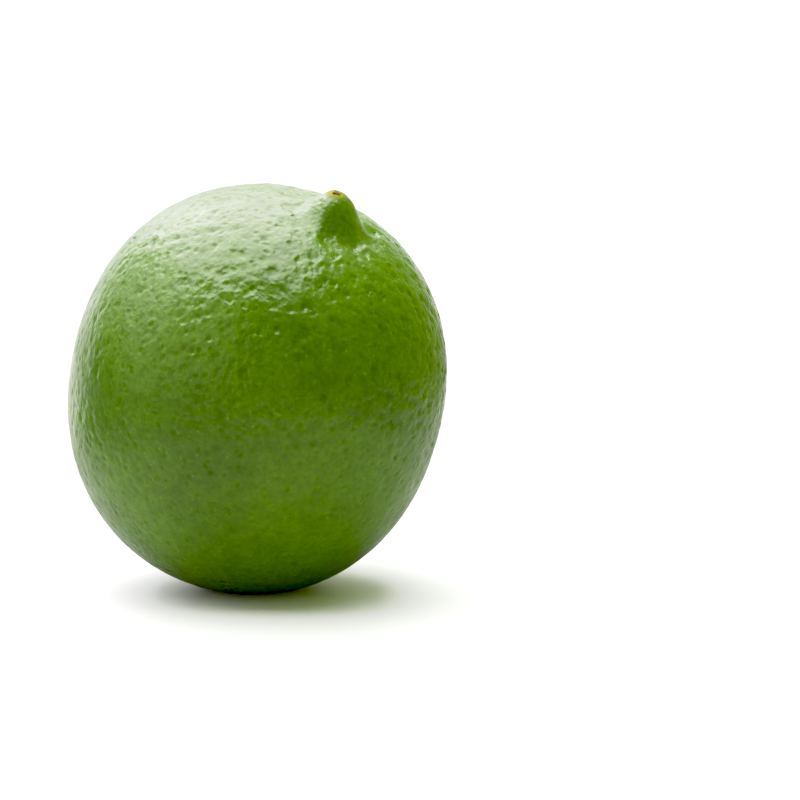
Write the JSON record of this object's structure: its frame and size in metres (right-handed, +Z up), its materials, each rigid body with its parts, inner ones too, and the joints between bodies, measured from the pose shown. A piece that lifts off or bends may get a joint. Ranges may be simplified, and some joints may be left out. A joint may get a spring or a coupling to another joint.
{
  "type": "lime",
  "caption": "Whole green lime with a pitted waxy peel, a leaning nipple at one end and a stem button at the other, resting at a slant on a small flat spot.",
  "frame": {"origin": "bottom centre of the bounding box, on the plane the fruit rests on", "axes": "+Z up, from the resting spot to the shoulder beside the nipple; -Y is the side that faces the viewer of the picture; +X is the viewer's right"},
  "size_m": [0.0568, 0.0578, 0.0611],
  "materials": {
    "peel": "waxy, satin to glossy, mottled green"
  },
  "bodies": {
    "root": {"lime": "peel"}
  },
  "joints": []
}
